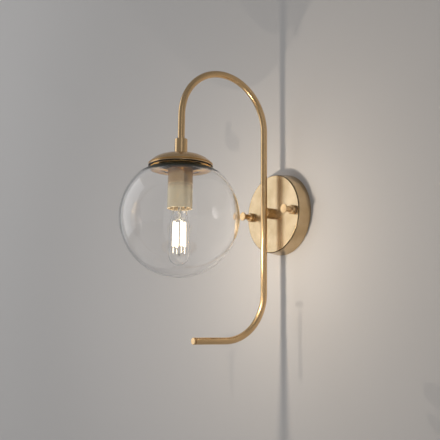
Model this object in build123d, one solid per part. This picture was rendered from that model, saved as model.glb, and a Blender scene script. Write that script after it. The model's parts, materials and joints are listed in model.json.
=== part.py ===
"""Globe wall sconce: a bent brass tube on a round canopy, with a clear glass globe hung from its hook.

Millimetres. The origin is on the wall, at the middle of the canopy: the wall is the plane y = 0, the room
lies towards -Y and +Z is up. The arm lies in the plane x = 0, and the lamp hangs on a vertical axis in it.
"""

import os
from math import asin, atan2, cos, degrees, radians, sin, sqrt

from build123d import *

# ---- driving dimensions -------------------------------------------------------------------------------

INCH = 25.4

CANOPY_BACK_D = 4.5 * INCH
CANOPY_FACE_D = 107.0
CANOPY_DEPTH = 20.0
CANOPY_WALL = 1.2
CANOPY_EDGE_R = 1.5
KNOB_SPACING = 3.5 * INCH
BOX_SCREW_SPACING = 2.75 * INCH

TUBE_D = 9.0
TUBE_WALL = 1.0
TUBE_FROM_WALL = 35.0
HOOK_SPACING = 138.0
HOOK_CENTRE_Z = 114.0
DROP_END_Z = 71.5
FOOT_BEND_Z = -110.8
FOOT_BEND_R = 64.0
FOOT_END_Y = -149.7

GLOBE_D = 6 * INCH
GLOBE_CENTRE_Z = -20.5
GLASS_T = 2.2
SHOULDER_R = 40.0
SHOULDER_FROM_TOP = 48.0
NECK_D = 50.0
NECK_FILLET_R = 3.0
NECK_TOP_Z = 53.0

COLLAR_D = 16.5
COLLAR_TOP_Z = 81.0
CAP_TOP_Z = 60.3
CAP_LIP_D = 82.8
CAP_LIP_Z = 43.6
CUP_D = 32.0
CUP_MOUTH_Z = -9.7

BULB_D = 25.6
BULB_TIP_Z = -81.6

# ---- sizes worked out from them, and standard sizes ---------------------------------------------------

TUBE_R = TUBE_D / 2
TUBE_BORE_R = TUBE_R - TUBE_WALL
HOOK_R = HOOK_SPACING / 2
FOOT_Z = FOOT_BEND_Z - FOOT_BEND_R
LAMP_Y = -(TUBE_FROM_WALL + HOOK_SPACING)
LAMP_AXIS = Pos(0, LAMP_Y, 0)
KNOB_X = KNOB_SPACING / 2

SHEET = 1.2
PIPE_R = 4.85
PIPE_BORE_R = 3.4
PIPE_HOLE_R = 5.1
PIPE_NUT_FLATS = 14.0
STUD_R = 2.08
STUD_END_Y = -28.6
RUNNING_FIT = 0.06

# ---- helpers ------------------------------------------------------------------------------------------


def outline(*corners):
    """A closed flat outline; each corner is (across, up) or (across, up, corner radius)."""
    points = [corner[:2] for corner in corners]
    radii = [corner[2] if len(corner) == 3 else 0 for corner in corners]
    return make_face(FilletPolyline(*points, radius=radii, close=True))


def turned(face):
    """Spin an outline of (radius, height) about the vertical axis."""
    return revolve(Plane.XZ * face, Axis.Z)


def turned_out(*corners):
    """Spin an outline of (radius, y) about the axis that points out of the wall."""
    return revolve(outline(*corners), Axis.Y)


def rod(radius, low, high):
    """A vertical round bar between two heights."""
    return Pos(0, 0, low) * Cylinder(radius, high - low, align=(Align.CENTER, Align.CENTER, Align.MIN))


def out_of_wall(part):
    """Stand a flat-lying piece on the wall, so that its height becomes distance out from the wall."""
    return Rot(90, 0, 0) * part


def rod_out(radius, near, far):
    """A round bar along the wall's normal, between two distances from the wall."""
    return out_of_wall(rod(radius, near, far))


def ring(outer_r, inner_r, low, high):
    """A flat washer between two heights."""
    return rod(outer_r, low, high) - rod(inner_r, low, high)


def hex_nut(across_flats, bore_r, low, high):
    """A hexagon nut with turned corners, its axis vertical."""
    corner_r = across_flats / sqrt(3)
    face_r = across_flats / 2
    slope = (corner_r - face_r) * 0.6
    prism = Pos(0, 0, low) * extrude(RegularPolygon(corner_r, 6), high - low)
    blank = outline(
        (0, low),
        (face_r, low),
        (corner_r + 0.1, low + slope),
        (corner_r + 0.1, high - slope),
        (face_r, high),
        (0, high),
    )
    return (prism & turned(blank)) - rod(bore_r, low, high)


def left_and_right(part, spacing):
    """Two copies of a piece, one each side of the middle."""
    return [Pos(side * spacing / 2, 0, 0) * part for side in (-1, 1)]


def swept(section, path):
    """Sweep a flat section along a path of lines and tangent arcs, square to it at its start."""
    start = Plane(origin=path @ 0, z_dir=path % 0)
    return sweep(start * section, path=path)


# ---- wall side ----------------------------------------------------------------------------------------

CROSSBAR_L = 104.0
CROSSBAR_W = 18.0
CROSSBAR_T = 2.0
BOX_SLOT_L = 9.0
BOX_SLOT_W = 4.8
GROUND_X = 20.0
GROUND_SCREW_R = 2.0
STUD_NUT_FLATS = 8.7
STUD_NUT_T = 3.2


def crossbar():
    """Flat steel strap across the wall box: slots for the box screws, holes for studs, pipe and earth."""
    strap = extrude(RectangleRounded(CROSSBAR_L, CROSSBAR_W, 4.0), CROSSBAR_T)
    holes = [Circle(PIPE_HOLE_R)]
    for side in (-1, 1):
        holes.append(Pos(side * BOX_SCREW_SPACING / 2, 0) * SlotOverall(BOX_SLOT_L, BOX_SLOT_W))
        holes.append(Pos(side * KNOB_X, 0) * Circle(STUD_R))
        holes.append(Pos(side * GROUND_X, 0) * Circle(GROUND_SCREW_R))
    for hole in holes:
        strap -= extrude(hole, CROSSBAR_T)
    return out_of_wall(strap)


def mounting_studs():
    """Two headless screws standing out of the crossbar, with bevelled tips."""
    tip = 0.8
    stud = turned_out(
        (0, 0),
        (STUD_R, 0),
        (STUD_R, STUD_END_Y + tip),
        (STUD_R - tip, STUD_END_Y),
        (0, STUD_END_Y),
    )
    return left_and_right(stud, KNOB_SPACING)


def stud_nuts():
    """Nuts locking the studs to the crossbar."""
    nut = hex_nut(STUD_NUT_FLATS, STUD_R, CROSSBAR_T, CROSSBAR_T + STUD_NUT_T)
    return left_and_right(out_of_wall(nut), KNOB_SPACING)


def canopy():
    """Pressed cup: open at the wall, tapering to a flat face with a softly rounded edge."""
    back_r = CANOPY_BACK_D / 2
    front_r = CANOPY_FACE_D / 2 + CANOPY_EDGE_R * 0.9
    cup = turned_out(
        (0, 0),
        (back_r, 0),
        (front_r, -CANOPY_DEPTH, CANOPY_EDGE_R),
        (0, -CANOPY_DEPTH),
    )
    hollow = turned_out(
        (0, 0),
        (back_r - CANOPY_WALL, 0),
        (front_r - CANOPY_WALL, CANOPY_WALL - CANOPY_DEPTH, CANOPY_EDGE_R / 3),
        (0, CANOPY_WALL - CANOPY_DEPTH),
    )
    shell = cup - hollow - rod_out(PIPE_HOLE_R, 0, CANOPY_DEPTH)
    for hole in left_and_right(rod_out(STUD_R + 0.5, 0, CANOPY_DEPTH), KNOB_SPACING):
        shell -= hole
    return shell


# ---- turned cap nuts ----------------------------------------------------------------------------------

KNOB_WASHER_T = 0.6
KNOB_BASE_R = 6.3
KNOB_BASE_L = 6.0
KNOB_NECK_R = 3.8
KNOB_HEAD_R = 6.2
KNOB_HEAD_T = 2.2
KNOB_L = 17.7
KNOB_HOLE_L = 10.4


def knob():
    """Turned cap nut: rounded base, slim neck and flat disc head, blind-bored for the stud."""
    base = -(CANOPY_DEPTH + KNOB_WASHER_T)
    neck_from = base - KNOB_BASE_L
    neck_to = base - KNOB_L + KNOB_HEAD_T
    end = base - KNOB_L
    body = turned_out(
        (0, base),
        (KNOB_BASE_R, base, 0.8),
        (KNOB_BASE_R, neck_from, 1.9),
        (KNOB_NECK_R, neck_from, 0.5),
        (KNOB_NECK_R, neck_to, 0.5),
        (KNOB_HEAD_R, neck_to, 0.5),
        (KNOB_HEAD_R, end, 0.5),
        (0, end - 0.2),
    )
    return body - rod_out(STUD_R + RUNNING_FIT, -base, KNOB_HOLE_L - base)


def knob_at(side):
    """A cap nut on the left (-1) or right (+1) stud."""
    return Pos(side * KNOB_X, 0, 0) * knob()


def knob_washer_at(side):
    """Thin washer that keeps a cap nut from marking the canopy."""
    washer = ring(KNOB_BASE_R - 0.9, STUD_R + 0.3, CANOPY_DEPTH, CANOPY_DEPTH + KNOB_WASHER_T)
    return Pos(side * KNOB_X, 0, 0) * out_of_wall(washer)


# ---- arm and its pipe fitting -------------------------------------------------------------------------

STUB_R = 7.5
STUB_OUT = 33.5
STUB_PIPE_FROM = 11.4
STUB_PIPE_TO = 27.5
PIPE_WASHER_R = 9.0
PIPE_WASHER_T = 1.0
PIPE_NUT_T = 3.4
LUG_T = 0.8
WIRE_HOLE_R = 3.3
BUSHING_BORE_R = 2.75
PLUG_HEAD_T = 2.0
PLUG_GROOVE_T = 0.8
PLUG_SHANK_L = 8.0

WASHER_AT = CANOPY_DEPTH - CANOPY_WALL - PIPE_WASHER_T
LUG_AT = WASHER_AT - LUG_T
CANOPY_NUT_AT = LUG_AT - PIPE_NUT_T


def canopy_washer():
    """Flat washer spreading the pipe nut's load inside the canopy."""
    return out_of_wall(ring(PIPE_WASHER_R, PIPE_HOLE_R, WASHER_AT, WASHER_AT + PIPE_WASHER_T))


def canopy_nut():
    """Pipe nut that draws the arm's stub against the canopy from inside."""
    return out_of_wall(hex_nut(PIPE_NUT_FLATS, PIPE_R, CANOPY_NUT_AT, LUG_AT))


def stub_pipe():
    """Threaded hollow pipe from the stub into the canopy."""
    return out_of_wall(ring(PIPE_R, PIPE_BORE_R, STUB_PIPE_FROM, STUB_PIPE_TO))


def wire_bushing():
    """Plastic bushing in the pipe's mouth, so that its edge can't cut the wires."""
    flange = ring(PIPE_R - 0.2, BUSHING_BORE_R, STUB_PIPE_FROM - 0.8, STUB_PIPE_FROM)
    sleeve = ring(PIPE_BORE_R, BUSHING_BORE_R, STUB_PIPE_FROM, STUB_PIPE_FROM + 5.0)
    return out_of_wall(flange + sleeve)


def arm_stub():
    """Short turned post, threaded for the pipe and saddle-cut to the arm tube."""
    post = turned_out(
        (0, -CANOPY_DEPTH),
        (STUB_R, -CANOPY_DEPTH, 0.3),
        (STUB_R, -STUB_OUT, 0.5),
        (0, -STUB_OUT),
    )
    saddle = Pos(0, -TUBE_FROM_WALL, 0) * rod(TUBE_R, -STUB_R, STUB_R)
    post -= rod_out(PIPE_R, CANOPY_DEPTH, STUB_PIPE_TO)
    post -= rod_out(WIRE_HOLE_R, STUB_PIPE_TO, TUBE_FROM_WALL)
    return post - saddle


def arm_path():
    """Centre line of the arm: up the short leg, over the hook, down the back leg and out along the foot."""
    y_back = -TUBE_FROM_WALL
    y_foot = y_back - FOOT_BEND_R
    foot_open_y = FOOT_END_Y + PLUG_HEAD_T + PLUG_GROOVE_T
    drop = Line((0, LAMP_Y, DROP_END_Z), (0, LAMP_Y, HOOK_CENTRE_Z))
    hook = ThreePointArc(
        (0, LAMP_Y, HOOK_CENTRE_Z),
        (0, y_back - HOOK_R, HOOK_CENTRE_Z + HOOK_R),
        (0, y_back, HOOK_CENTRE_Z),
    )
    back = Line((0, y_back, HOOK_CENTRE_Z), (0, y_back, FOOT_BEND_Z))
    half = radians(45)
    bend = ThreePointArc(
        (0, y_back, FOOT_BEND_Z),
        (0, y_foot + FOOT_BEND_R * cos(half), FOOT_BEND_Z - FOOT_BEND_R * sin(half)),
        (0, y_foot, FOOT_Z),
    )
    foot = Line((0, y_foot, FOOT_Z), (0, foot_open_y, FOOT_Z))
    return Wire([drop, hook, back, bend, foot])


def arm_tube():
    """The bent tube, open at both ends, with a wire hole where the stub meets it."""
    tube = swept(Circle(TUBE_R) - Circle(TUBE_BORE_R), arm_path())
    return tube - rod_out(WIRE_HOLE_R, STUB_PIPE_TO, TUBE_FROM_WALL)


def arm_end_plug():
    """Button plug pressed into the foot: flat head, shadow groove, shank."""
    head_back = FOOT_END_Y + PLUG_HEAD_T
    mouth = head_back + PLUG_GROOVE_T
    plug = turned_out(
        (0, FOOT_END_Y - 0.2),
        (TUBE_R, FOOT_END_Y, 0.4),
        (TUBE_R, head_back, 0.3),
        (TUBE_R - 0.9, head_back),
        (TUBE_R - 0.9, mouth),
        (TUBE_BORE_R, mouth),
        (TUBE_BORE_R, mouth + PLUG_SHANK_L, 0.8),
        (0, mouth + PLUG_SHANK_L),
    )
    return Pos(0, 0, FOOT_Z) * plug


# ---- collar and cap on the lamp axis ------------------------------------------------------------------

LAMP_PIPE_TOP = 70.0
GRUB_SCREW_R = 2.0
GRUB_SCREW_Z = 76.3
CAP_NUT_T = 4.0
WEB_T = 1.0
CUP_TOP_T = 1.0
CUP_NUT_T = 3.6
CUP_WALL = 0.8

CAP_INSIDE_Z = CAP_TOP_Z - SHEET
WEB_TOP_Z = CAP_INSIDE_Z - CAP_NUT_T
CUP_TOP_Z = WEB_TOP_Z - WEB_T
CUP_NUT_TOP_Z = CUP_TOP_Z - CUP_TOP_T
HOLDER_TOP_Z = CUP_NUT_TOP_Z - CUP_NUT_T
LAMP_PIPE_END = HOLDER_TOP_Z - 5.0


def arm_collar():
    """Turned coupler: socket for the tube above, pipe thread below, grub screw hole at the wall side."""
    body = turned(
        outline(
            (0, CAP_TOP_Z),
            (COLLAR_D / 2, CAP_TOP_Z, 0.4),
            (COLLAR_D / 2, COLLAR_TOP_Z, 0.4),
            (0, COLLAR_TOP_Z),
        )
    )
    body -= rod(TUBE_R, DROP_END_Z, COLLAR_TOP_Z)
    body -= rod(PIPE_BORE_R, LAMP_PIPE_TOP, DROP_END_Z)
    body -= rod(PIPE_R, CAP_TOP_Z, LAMP_PIPE_TOP)
    grub_hole = Pos(0, 0, GRUB_SCREW_Z) * Rot(-90, 0, 0) * rod(GRUB_SCREW_R, 0, COLLAR_D)
    return LAMP_AXIS * (body - (grub_hole - rod(TUBE_R, DROP_END_Z, COLLAR_TOP_Z)))


def collar_grub_screw():
    """Headless screw with a hexagon socket, biting on the tube."""
    outer = COLLAR_D / 2 - 0.4
    screw = rod(GRUB_SCREW_R, TUBE_R - 1.0, outer)
    screw -= Pos(0, 0, outer - 1.6) * extrude(RegularPolygon(1.15, 6), 1.6)
    screw = Pos(0, 0, GRUB_SCREW_Z) * Rot(-90, 0, 0) * screw
    return LAMP_AXIS * (screw - rod(TUBE_R, DROP_END_Z, COLLAR_TOP_Z))


def lamp_pipe():
    """Threaded hollow pipe that strings collar, cap, gallery, cup and lampholder together."""
    return LAMP_AXIS * ring(PIPE_R, PIPE_BORE_R, LAMP_PIPE_END, LAMP_PIPE_TOP)


CROWN_FLAT_R = 9.0
CROWN_R = 78.0
CROWN_TILT = 9.4
CAP_SHOULDER_R = 31.3
CAP_SHOULDER_END_R = 39.3
CAP_SKIRT_R = 41.2
CAP_SKIRT_Z = 48.2
CAP_GROOVE_R = 40.2
CAP_GROOVE_Z = 47.5
CAP_LIP_T = 3.6
CAP_LIP_BULGE = 0.9


def cap_curve(depth, end_r):
    """The dome in section at a depth below its outside: flat seat, crown and shoulder, out to a radius."""
    tilt = radians(CROWN_TILT)
    top = CAP_TOP_Z - depth
    reach = CROWN_R - CAP_SHOULDER_R
    shoulder_centre = (CROWN_FLAT_R + reach * sin(tilt), CAP_TOP_Z - CROWN_R + reach * cos(tilt))
    shoulder_r = CAP_SHOULDER_R - depth
    shoulder_end = degrees(asin((end_r - shoulder_centre[0]) / shoulder_r))
    return [
        Line((0, top), (CROWN_FLAT_R, top)),
        CenterArc((CROWN_FLAT_R, CAP_TOP_Z - CROWN_R), CROWN_R - depth, 90 - CROWN_TILT, CROWN_TILT),
        CenterArc(shoulder_centre, shoulder_r, 90 - shoulder_end, shoulder_end - CROWN_TILT),
    ]


def fitter_cap():
    """Spun dome: flat seat, short skirt, fine groove, and a convex lip that overhangs the glass."""
    inner_r = CAP_GROOVE_R - SHEET
    outside = cap_curve(0, CAP_SHOULDER_END_R)
    inside = cap_curve(SHEET, inner_r)
    shoulder_end = outside[-1] @ 0
    skirt = (CAP_SKIRT_R, CAP_SKIRT_Z)
    groove = (CAP_GROOVE_R, CAP_GROOVE_Z)
    lip_r = CAP_LIP_D / 2
    lip_top = (lip_r - CAP_LIP_BULGE, CAP_LIP_Z + CAP_LIP_T)
    lip_low = (lip_r - CAP_LIP_BULGE, CAP_LIP_Z)
    edge = [
        TangentArc(shoulder_end, skirt, tangent=-(outside[-1] % 0)),
        Line(skirt, groove),
        Line(groove, lip_top),
        ThreePointArc(lip_top, (lip_r, CAP_LIP_Z + CAP_LIP_T / 2), lip_low),
        Line(lip_low, (inner_r, CAP_LIP_Z)),
        Line((inner_r, CAP_LIP_Z), inside[-1] @ 0),
    ]
    axis = Line((0, CAP_TOP_Z), (0, CAP_INSIDE_Z))
    section = make_face([*outside, *edge, *inside, axis])
    return LAMP_AXIS * (turned(section) - rod(PIPE_HOLE_R, CAP_INSIDE_Z, CAP_TOP_Z))


def cap_nut():
    """Pipe nut that clamps the cap up against the collar."""
    return LAMP_AXIS * hex_nut(PIPE_NUT_FLATS, PIPE_R, WEB_TOP_Z, CAP_INSIDE_Z)


GALLERY_GAP = 0.4
GALLERY_T = 1.2
GALLERY_LOW_Z = 46.0


def glass_gallery():
    """Ring with a web, inside the cap: its wall takes the screw neck of the globe, its foot is beaded."""
    inner_r = NECK_D / 2 + GALLERY_GAP
    outer_r = inner_r + GALLERY_T
    dish = outline(
        (PIPE_HOLE_R, CUP_TOP_Z),
        (inner_r, CUP_TOP_Z),
        (inner_r, GALLERY_LOW_Z),
        (outer_r + 0.8, GALLERY_LOW_Z, 0.5),
        (outer_r + 0.8, GALLERY_LOW_Z + 1.6, 0.5),
        (outer_r, GALLERY_LOW_Z + 1.6),
        (outer_r, WEB_TOP_Z, 1.0),
        (PIPE_HOLE_R, WEB_TOP_Z),
    )
    return LAMP_AXIS * turned(dish)


def globe_seal():
    """Soft ring that sits on the neck's rim and closes the joint to the gallery."""
    return LAMP_AXIS * ring(NECK_D / 2 - 0.2, NECK_D / 2 - GLASS_T, NECK_TOP_Z, CUP_TOP_Z)


def socket_cup():
    """Plain drawn sleeve round the lampholder, closed at the top, open and rolled at the mouth."""
    outer_r = CUP_D / 2
    inner_r = outer_r - CUP_WALL
    section = outline(
        (PIPE_HOLE_R, CUP_TOP_Z),
        (outer_r, CUP_TOP_Z, 2.0),
        (outer_r, CUP_MOUTH_Z, CUP_WALL / 3),
        (inner_r, CUP_MOUTH_Z, CUP_WALL / 3),
        (inner_r, CUP_NUT_TOP_Z, 1.2),
        (PIPE_HOLE_R, CUP_NUT_TOP_Z),
    )
    return LAMP_AXIS * turned(section)


def cup_nut():
    """Pipe nut inside the socket cup."""
    return LAMP_AXIS * hex_nut(PIPE_NUT_FLATS, PIPE_R, HOLDER_TOP_Z, CUP_NUT_TOP_Z)


# ---- globe --------------------------------------------------------------------------------------------


def glass_curve(depth):
    """Half section of the globe at a depth below its outside: bowl, flatter shoulder, neck fillet, neck."""
    globe_r = GLOBE_D / 2
    neck_r = NECK_D / 2
    rim_z = NECK_TOP_Z - GLASS_T / 2
    lean = radians(SHOULDER_FROM_TOP)
    offset = globe_r - SHOULDER_R
    shoulder = (offset * sin(lean), GLOBE_CENTRE_Z + offset * cos(lean))
    fillet_x = neck_r + NECK_FILLET_R
    fillet_rise = sqrt((SHOULDER_R + NECK_FILLET_R) ** 2 - (fillet_x - shoulder[0]) ** 2)
    fillet_z = shoulder[1] + fillet_rise
    meet = degrees(atan2(fillet_rise, fillet_x - shoulder[0]))
    bowl_top = 90 - SHOULDER_FROM_TOP
    return [
        CenterArc((0, GLOBE_CENTRE_Z), globe_r - depth, -90, 90 + bowl_top),
        CenterArc(shoulder, SHOULDER_R - depth, bowl_top, meet - bowl_top),
        CenterArc((fillet_x, fillet_z), NECK_FILLET_R + depth, 180, meet),
        Line((neck_r - depth, fillet_z), (neck_r - depth, rim_z)),
    ]


def glass_globe():
    """Blown clear globe with a short straight neck and a fire-rounded rim."""
    outside = glass_curve(0)
    inside = glass_curve(GLASS_T)
    neck_r = NECK_D / 2
    rim_z = NECK_TOP_Z - GLASS_T / 2
    rim = ThreePointArc((neck_r, rim_z), (neck_r - GLASS_T / 2, NECK_TOP_Z), (neck_r - GLASS_T, rim_z))
    pole = Line(outside[0] @ 0, inside[0] @ 0)
    return LAMP_AXIS * turned(make_face([*outside, rim, *inside, pole]))


# ---- lampholder ---------------------------------------------------------------------------------------

HOLDER_R = 12.2
HOLDER_WALL = 2.0
HOLDER_SPLIT_Z = 38.0
HOLDER_MOUTH_Z = 1.5
PARTITION_Z = 20.5
PARTITION_T = 3.0
SHELL_R = 6.35
SHELL_T = 0.33
SHELL_LOW_Z = 4.6
CONTACT_T = 0.4
CONTACT_X = 5.2
TAB_TOP_Z = 29.0
TAB_W = 3.0


def holder_cap():
    """Moulded top of the lampholder: threaded bush on a rounded dome."""
    bush_r = 7.0
    dome_z = 44.0
    body = turned(
        outline(
            (0, HOLDER_SPLIT_Z),
            (HOLDER_R, HOLDER_SPLIT_Z),
            (HOLDER_R, dome_z, 4.5),
            (bush_r, dome_z, 1.0),
            (bush_r, HOLDER_TOP_Z, 0.5),
            (0, HOLDER_TOP_Z),
        )
    )
    hollow = turned(
        outline(
            (0, HOLDER_SPLIT_Z),
            (HOLDER_R - HOLDER_WALL, HOLDER_SPLIT_Z),
            (HOLDER_R - HOLDER_WALL, dome_z - HOLDER_WALL, 3.0),
            (0, dome_z - HOLDER_WALL),
        )
    )
    return LAMP_AXIS * (body - hollow - rod(PIPE_R, dome_z - HOLDER_WALL, HOLDER_TOP_Z))


def tab_slot(x, thickness):
    """Slot through the partition for one terminal tab."""
    height = PARTITION_T
    return Pos(x, 0, PARTITION_Z + height / 2) * Box(thickness, TAB_W + 0.2, height)


def holder_body():
    """Moulded barrel of the lampholder: socket below, partition, wiring space above."""
    body = turned(
        outline(
            (0, HOLDER_MOUTH_Z),
            (HOLDER_R, HOLDER_MOUTH_Z, 0.8),
            (HOLDER_R, HOLDER_SPLIT_Z),
            (0, HOLDER_SPLIT_Z),
        )
    )
    body -= rod(SHELL_R, HOLDER_MOUTH_Z, PARTITION_Z)
    body -= rod(HOLDER_R - HOLDER_WALL, PARTITION_Z + PARTITION_T, HOLDER_SPLIT_Z)
    body -= tab_slot(CONTACT_X - CONTACT_T / 2, CONTACT_T)
    body -= tab_slot(-(SHELL_R - SHELL_T / 2), SHELL_T)
    return LAMP_AXIS * body


def screw_shell():
    """Thin brass sleeve that the bulb screws into, with its terminal tab standing through the partition."""
    top = PARTITION_Z - 2.0
    inner_r = SHELL_R - SHELL_T
    sleeve = turned(
        outline(
            (SHELL_R, SHELL_LOW_Z),
            (SHELL_R, top),
            (4.4, top),
            (4.4, top - SHELL_T),
            (inner_r, top - SHELL_T),
            (inner_r, SHELL_LOW_Z),
        )
    )
    blade_h = TAB_TOP_Z - top + SHELL_T
    blade = Pos(-(SHELL_R - SHELL_T / 2), 0, TAB_TOP_Z - blade_h / 2) * Box(SHELL_T, TAB_W, blade_h)
    return LAMP_AXIS * (sleeve + (blade & rod(SHELL_R, top - SHELL_T, TAB_TOP_Z)))


def centre_contact():
    """Phosphor bronze strip: tab, leaf under the partition, and a springy tongue bent back to the middle."""
    leaf_z = PARTITION_Z - CONTACT_T / 2
    tab_x = CONTACT_X - CONTACT_T / 2
    strip = Polyline(
        (tab_x, TAB_TOP_Z),
        (tab_x, leaf_z),
        (-2.6, leaf_z),
        (-3.0, 19.75),
        (-0.6, 19.6),
        (2.4, 19.85),
    )
    section = trace(strip, CONTACT_T)
    return LAMP_AXIS * extrude(Plane.XZ * section, TAB_W / 2, both=True)


# ---- bulb ---------------------------------------------------------------------------------------------

BULB_WALL = 0.8
BASE_R = SHELL_R - SHELL_T - RUNNING_FIT
BASE_LOW_Z = 3.2
BASE_TOP_Z = 17.0
BASE_T = 0.35
SKIRT_R = 6.25
INSULATOR_TOP_Z = 18.5
TIP_TOP_Z = 19.3
FILAMENT_R = 1.5
FILAMENT_RING_R = 7.2
FILAMENT_TURN = -11.0
FILAMENT_TOP_Z = -25.5
FILAMENT_LOW_Z = -59.0
FILAMENT_LEAN = 0.6
FILAMENT_COUNT = 4
LEAD_R = 0.3
STEM_R = 1.7
HUB_Z = -68.0


def bulb_base():
    """Screw shell of the bulb, flared where it meets the glass."""
    inner_r = BASE_R - BASE_T
    section = outline(
        (BASE_R, BASE_LOW_Z + 1.0),
        (BASE_R, BASE_TOP_Z, 0.3),
        (inner_r - 0.6, BASE_TOP_Z),
        (inner_r - 0.6, BASE_TOP_Z - BASE_T),
        (inner_r, BASE_TOP_Z - BASE_T),
        (inner_r, BASE_LOW_Z + 1.0),
        (SKIRT_R - BASE_T, BASE_LOW_Z - 0.8),
        (SKIRT_R, BASE_LOW_Z - 0.8),
    )
    return LAMP_AXIS * turned(section)


def bulb_insulator():
    """Glass-black insulator cone on top of the screw shell."""
    inner_r = BASE_R - BASE_T
    cone = outline(
        (1.0, BASE_TOP_Z),
        (inner_r - 0.6, BASE_TOP_Z),
        (2.4, INSULATOR_TOP_Z),
        (1.0, INSULATOR_TOP_Z),
    )
    return LAMP_AXIS * turned(cone)


def bulb_tip_contact():
    """Soldered centre contact: a low dome with a shank through the insulator."""
    section = outline(
        (0, BASE_TOP_Z),
        (1.0, BASE_TOP_Z),
        (1.0, INSULATOR_TOP_Z),
        (2.2, INSULATOR_TOP_Z),
        (1.6, TIP_TOP_Z - 0.1),
        (0, TIP_TOP_Z),
    )
    return LAMP_AXIS * turned(section)


def bulb_curve(depth):
    """Half section of the bulb's glass at a depth below its outside, from the base down to the tip."""
    radius = BULB_D / 2
    dome_z = BULB_TIP_Z + radius
    neck = Spline(
        (5.2 - depth, BASE_LOW_Z),
        (7.6 - depth, -3.0),
        (8.6 - depth, -12.0),
        (11.6 - depth, -24.0),
        (radius - depth, -38.0),
        tangents=[(0.6, -1), (0, -1)],
    )
    wall = Line((radius - depth, -38.0), (radius - depth, dome_z))
    tip = CenterArc((0, dome_z), radius - depth, -90, 90)
    return [neck, wall, tip]


def bulb_glass():
    """Clear tubular envelope with a domed end, open where it is cemented into the base."""
    outside = bulb_curve(0)
    inside = bulb_curve(BULB_WALL)
    mouth = Line(outside[0] @ 0, inside[0] @ 0)
    pole = Line((0, BULB_TIP_Z), (0, BULB_TIP_Z + BULB_WALL))
    return LAMP_AXIS * turned(make_face([*outside, *inside, mouth, pole]))


def bulb_stem():
    """Glass stem: flare closing the envelope's mouth, tapering to a pinched rod."""
    flare_r = 5.2 - BULB_WALL
    section = outline(
        (0, BASE_LOW_Z),
        (flare_r, BASE_LOW_Z),
        (flare_r - 0.4, BASE_LOW_Z - 1.0),
        (2.4, -4.0, 2.0),
        (STEM_R, -20.0, 4.0),
        (STEM_R, -24.0, 0.8),
        (0, -24.0),
    )
    return LAMP_AXIS * turned(section)


def filament_places(radius):
    """Places spread evenly on a circle about the bulb's axis, one for each filament."""
    step = 360 / FILAMENT_COUNT
    return [Rot(0, 0, FILAMENT_TURN + index * step) * Pos(radius, 0, 0) for index in range(FILAMENT_COUNT)]


def led_filaments():
    """Four upright coated filament rods, leaning in slightly towards the top."""
    low = Vector(FILAMENT_LEAN, 0, FILAMENT_LOW_Z)
    high = Vector(0, 0, FILAMENT_TOP_Z)
    bar = swept(Circle(FILAMENT_R), Line(low, high))
    bar = fillet(bar.edges(), FILAMENT_R * 0.6)
    return [LAMP_AXIS * place * bar for place in filament_places(FILAMENT_RING_R - FILAMENT_LEAN)]


def bulb_leads():
    """Support wires: from the stem to each filament's top, and from each filament's foot to a low hub."""
    leads = []
    ring_top = FILAMENT_RING_R - FILAMENT_LEAN
    for place in filament_places(0):
        upper = FilletPolyline(
            (STEM_R + LEAD_R, 0, -20.0),
            (ring_top, 0, FILAMENT_TOP_Z + 3.0),
            (ring_top, 0, FILAMENT_TOP_Z),
            radius=1.2,
        )
        lower = FilletPolyline(
            (FILAMENT_RING_R, 0, FILAMENT_LOW_Z),
            (FILAMENT_RING_R, 0, FILAMENT_LOW_Z - 2.5),
            (0.8, 0, HUB_Z),
            radius=1.2,
        )
        for path in (upper, lower):
            leads.append(LAMP_AXIS * place * swept(Circle(LEAD_R), path))
    leads.append(LAMP_AXIS * rod(0.9, HUB_Z - 1.5, HUB_Z + 0.8))
    return leads


# ---- wiring -------------------------------------------------------------------------------------------

WIRE_R = 1.1
WIRE_X = 1.4
WIRE_TURN_R = 6.0
LEAD_Y = -7.0
GROUND_WIRE_R = 1.0


def supply_wire(side, terminal_x):
    """Insulated wire from a lampholder terminal through pipe, hook, back leg and stub into the canopy."""
    x = side * WIRE_X
    y_back = -TUBE_FROM_WALL
    holder = FilletPolyline(
        (terminal_x, LAMP_Y, TAB_TOP_Z - 3.0),
        (terminal_x, LAMP_Y, 34.0),
        (x, LAMP_Y, 42.0),
        (x, LAMP_Y, HOOK_CENTRE_Z),
        radius=5.0,
    )
    hook = ThreePointArc(
        (x, LAMP_Y, HOOK_CENTRE_Z),
        (x, y_back - HOOK_R, HOOK_CENTRE_Z + HOOK_R),
        (x, y_back, HOOK_CENTRE_Z),
    )
    back = Line((x, y_back, HOOK_CENTRE_Z), (x, y_back, WIRE_TURN_R))
    bow = WIRE_TURN_R * (1 - cos(radians(45)))
    turn = ThreePointArc(
        (x, y_back, WIRE_TURN_R),
        (x, y_back + bow, bow),
        (x, y_back + WIRE_TURN_R, 0),
    )
    lead = FilletPolyline(
        (x, y_back + WIRE_TURN_R, 0),
        (x, LEAD_Y, 0),
        (x, LEAD_Y, -15.0),
        (side * 9.0, LEAD_Y, -27.0),
        (side * 9.0, LEAD_Y, -38.0),
        radius=3.3,
    )
    path = Wire([*holder.edges(), hook, back, turn, *lead.edges()])
    return swept(Circle(WIRE_R), path)


def live_wire():
    """Wire to the centre contact."""
    return supply_wire(1, CONTACT_X - CONTACT_T - WIRE_R)


def neutral_wire():
    """Wire to the screw shell."""
    return supply_wire(-1, -(SHELL_R - SHELL_T - WIRE_R))


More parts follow.
